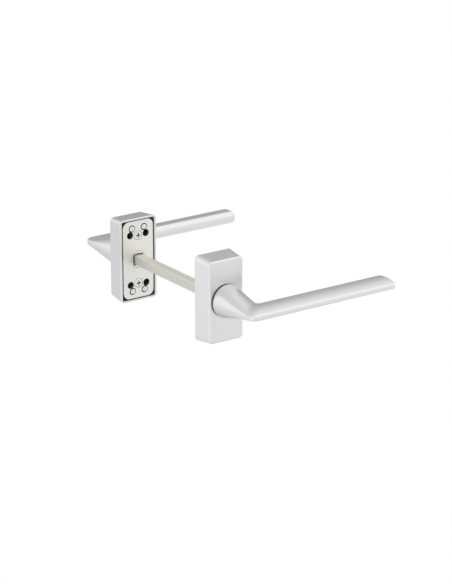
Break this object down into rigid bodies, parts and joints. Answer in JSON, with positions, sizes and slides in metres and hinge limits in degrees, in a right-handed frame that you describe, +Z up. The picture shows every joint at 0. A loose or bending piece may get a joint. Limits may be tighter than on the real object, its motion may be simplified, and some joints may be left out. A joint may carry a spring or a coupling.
{
  "type": "lever handle set",
  "caption": "Pair of cranked lever handles on narrow rectangular roses, joined by a square spindle that works a door latch from both sides.",
  "frame": {"origin": "middle of the square spindle, half way between the two rose backs, which is the middle of the door", "axes": "+X along the levers towards their tips, +Y along the spindle from the front handle to the rear one, +Z up"},
  "size_m": [0.1489, 0.2444, 0.0716],
  "materials": {
    "satin_silver": "satin silver, die-cast",
    "plated_steel": "zinc plated, satin",
    "bright_steel": "bright nickel plated",
    "spring_steel": "oiled, dark",
    "black_nylon": "moulded, matt"
  },
  "bodies": {
    "roses": {"front_rose_cover": "satin_silver", "rear_rose_cover": "satin_silver", "front_base_plate": "plated_steel", "rear_base_plate": "plated_steel", "front_plate_screws": "bright_steel", "rear_plate_screws": "bright_steel", "front_neck_bush": "black_nylon", "rear_neck_bush": "black_nylon", "front_return_spring": "spring_steel", "rear_return_spring": "spring_steel"},
    "levers": {"front_lever": "satin_silver", "rear_lever": "satin_silver", "spindle": "plated_steel", "front_spring_cam": "plated_steel", "rear_spring_cam": "plated_steel", "front_thrust_washer": "bright_steel", "rear_thrust_washer": "bright_steel", "front_retaining_clip": "spring_steel", "rear_retaining_clip": "spring_steel", "front_grub_screw": "spring_steel", "rear_grub_screw": "spring_steel"}
  },
  "joints": [
    {"name": "lever_turn", "type": "hinge", "parent": "roses", "child": "levers", "pos_m": [0, 0, 0], "axis": [0, 1, 0], "range_deg": [0, 45], "stiffness_Nm_per_rad": 1.2, "springref_deg": -20.05, "deforming": ["front_return_spring", "rear_return_spring"]}
  ]
}
